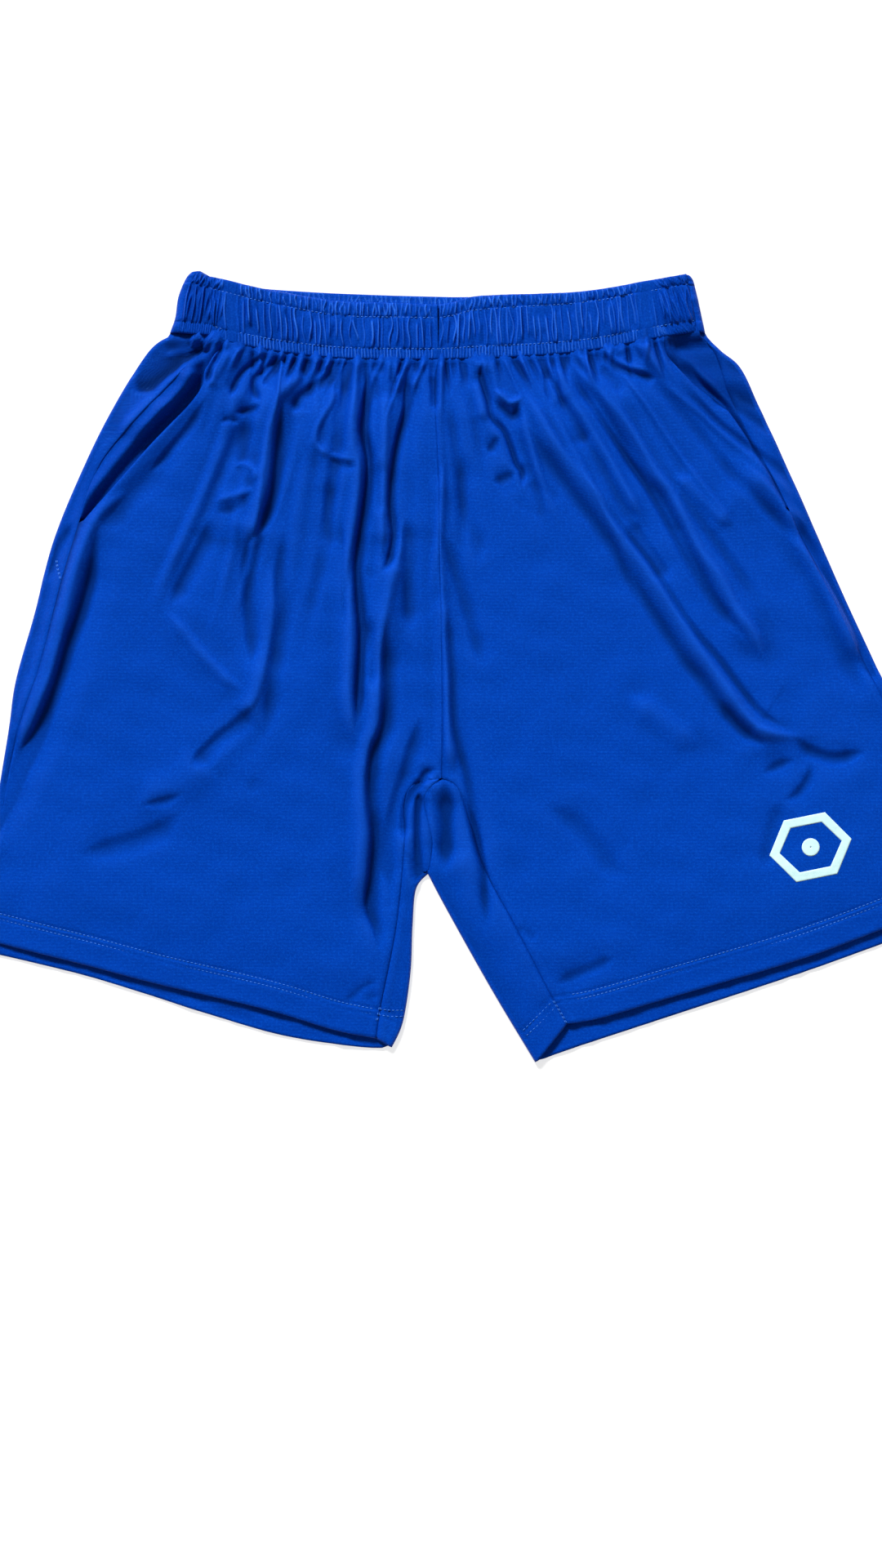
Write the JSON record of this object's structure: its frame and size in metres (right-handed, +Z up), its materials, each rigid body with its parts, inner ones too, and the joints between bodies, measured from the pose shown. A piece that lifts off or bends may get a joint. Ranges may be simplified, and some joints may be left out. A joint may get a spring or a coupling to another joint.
{
  "type": "athletic shorts",
  "caption": "Knit athletic shorts with a gathered elastic waistband and slant side pockets, laid flat with the front up.",
  "frame": {"origin": "middle of the garment's outline, on the surface it lies on", "axes": "+X towards the wearer's left leg, +Y towards the waist, +Z up out of the front"},
  "size_m": [0.72, 0.5794, 0.0147],
  "materials": {
    "knit": "saturated blue polyester knit, fine weave, slight sheen",
    "waistband": "the same blue knit gathered over elastic, three rows of stitching",
    "print": "pale cyan heat-transfer print, smooth and slightly glossy"
  },
  "bodies": {
    "root": {"front_panel_right": "knit", "front_panel_left": "knit", "back_panel_right": "knit", "back_panel_left": "knit", "pocket_facing_right": "knit", "pocket_facing_left": "knit", "waistband_front_right": "waistband", "waistband_front_left": "waistband", "waistband_back_right": "waistband", "waistband_back_left": "waistband", "motif_ring": "print", "motif_dot": "print"}
  },
  "joints": []
}
